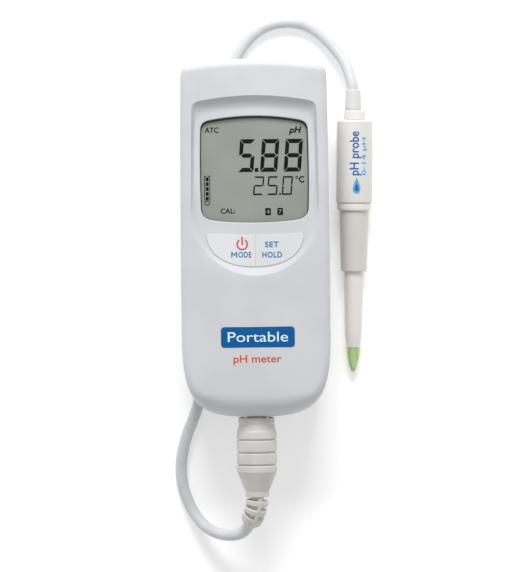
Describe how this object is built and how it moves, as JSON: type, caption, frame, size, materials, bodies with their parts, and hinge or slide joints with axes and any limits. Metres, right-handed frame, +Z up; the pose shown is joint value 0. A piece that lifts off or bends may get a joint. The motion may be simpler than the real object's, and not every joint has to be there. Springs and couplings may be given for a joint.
{
  "type": "ph meter",
  "caption": "Handheld pH meter lying on its back, with a display, keys, a battery bay, and a pH probe on a lead that plugs into its lower end.",
  "frame": {"origin": "on the surface the meter and its probe rest on, under the middle of the box around them, the plug and lead left out", "axes": "+Z up out of the display, +Y toward the top of the display, +X to the right of it"},
  "size_m": [0.088, 0.2288, 0.0421],
  "materials": {
    "case_plastic": "very light cool grey moulded plastic, fine satin texture",
    "key_plastic": "light grey key caps, satin",
    "badge_blue": "printed blue label, satin",
    "window_plastic": "clear window, glossy",
    "lcd_panel": "greenish grey liquid crystal glass",
    "inner_plastic": "plain moulded plastic",
    "seal_rubber": "dark soft rubber",
    "silicone": "grey silicone",
    "board": "green solder mask over glass fibre",
    "chip_black": "black moulding compound",
    "steel": "plain steel",
    "nickel": "nickel plated",
    "battery_sleeve": "plain printed sleeve",
    "plug_rubber": "warm light grey soft moulding",
    "cord_jacket": "cool off-white smooth jacket",
    "tie_plastic": "light hook and loop strap",
    "probe_plastic": "warm white moulded plastic",
    "probe_tube": "off-white slightly translucent tube",
    "probe_glass": "yellow-green bulb glass",
    "clear_tube": "clear glass tube"
  },
  "bodies": {
    "meter": {"badge_plate": "badge_blue", "battery_1": "battery_sleeve", "battery_2": "battery_sleeve", "battery_3": "battery_sleeve", "battery_cover": "case_plastic", "battery_cover_gasket": "seal_rubber", "beeper": "chip_black", "case_gasket": "seal_rubber", "case_screw_1": "steel", "case_screw_2": "steel", "case_screw_3": "steel", "case_screw_4": "steel", "contact_plate_1": "nickel", "contact_plate_2": "nickel", "contact_plate_3": "nickel", "contact_spring_1": "nickel", "contact_spring_2": "nickel", "contact_spring_3": "nickel", "controller_chip": "chip_black", "cover_screw_1": "steel", "cover_screw_2": "steel", "crystal": "steel", "display_window": "window_plastic", "front_shell": "case_plastic", "hold_switch_dome": "steel", "input_amplifier_chip": "chip_black", "keypad_mat": "silicone", "lcd_frame": "inner_plastic", "lcd_glass": "lcd_panel", "main_board": "board", "mode_switch_dome": "steel", "rear_shell": "case_plastic", "socket_body": "chip_black", "socket_nut": "nickel", "socket_seal": "seal_rubber", "zebra_strip_lower": "seal_rubber", "zebra_strip_upper": "seal_rubber"},
    "mode_key": {"mode_key": "key_plastic"},
    "hold_key": {"hold_key": "key_plastic"},
    "probe_lead": {"plug_overmould": "plug_rubber", "plug_barrel": "nickel", "plug_insert": "chip_black", "strain_relief": "plug_rubber", "lead_lower_run": "cord_jacket", "lead_hank": "cord_jacket", "lead_upper_run": "cord_jacket", "hank_tie_left": "tie_plastic", "hank_tie_right": "tie_plastic", "probe_amplifier_board": "board", "probe_boot": "cord_jacket", "probe_collar": "probe_plastic", "probe_glass_tip": "probe_glass", "probe_head": "probe_plastic", "probe_head_ring": "probe_tube", "probe_reference_tube": "clear_tube", "probe_shaft": "probe_tube", "probe_sleeve": "probe_tube", "probe_temperature_sensor": "steel"}
  },
  "joints": [
    {"name": "mode_key_press", "type": "slide", "parent": "meter", "child": "mode_key", "axis": [0, 0, -1], "range_m": [0, 0.0008], "stiffness_N_per_m": 600},
    {"name": "hold_key_press", "type": "slide", "parent": "meter", "child": "hold_key", "axis": [0, 0, -1], "range_m": [0, 0.0008], "stiffness_N_per_m": 600},
    {"name": "plug_pull", "type": "slide", "parent": "meter", "child": "probe_lead", "axis": [0, -1, 0], "range_m": [0, 0.014]}
  ]
}
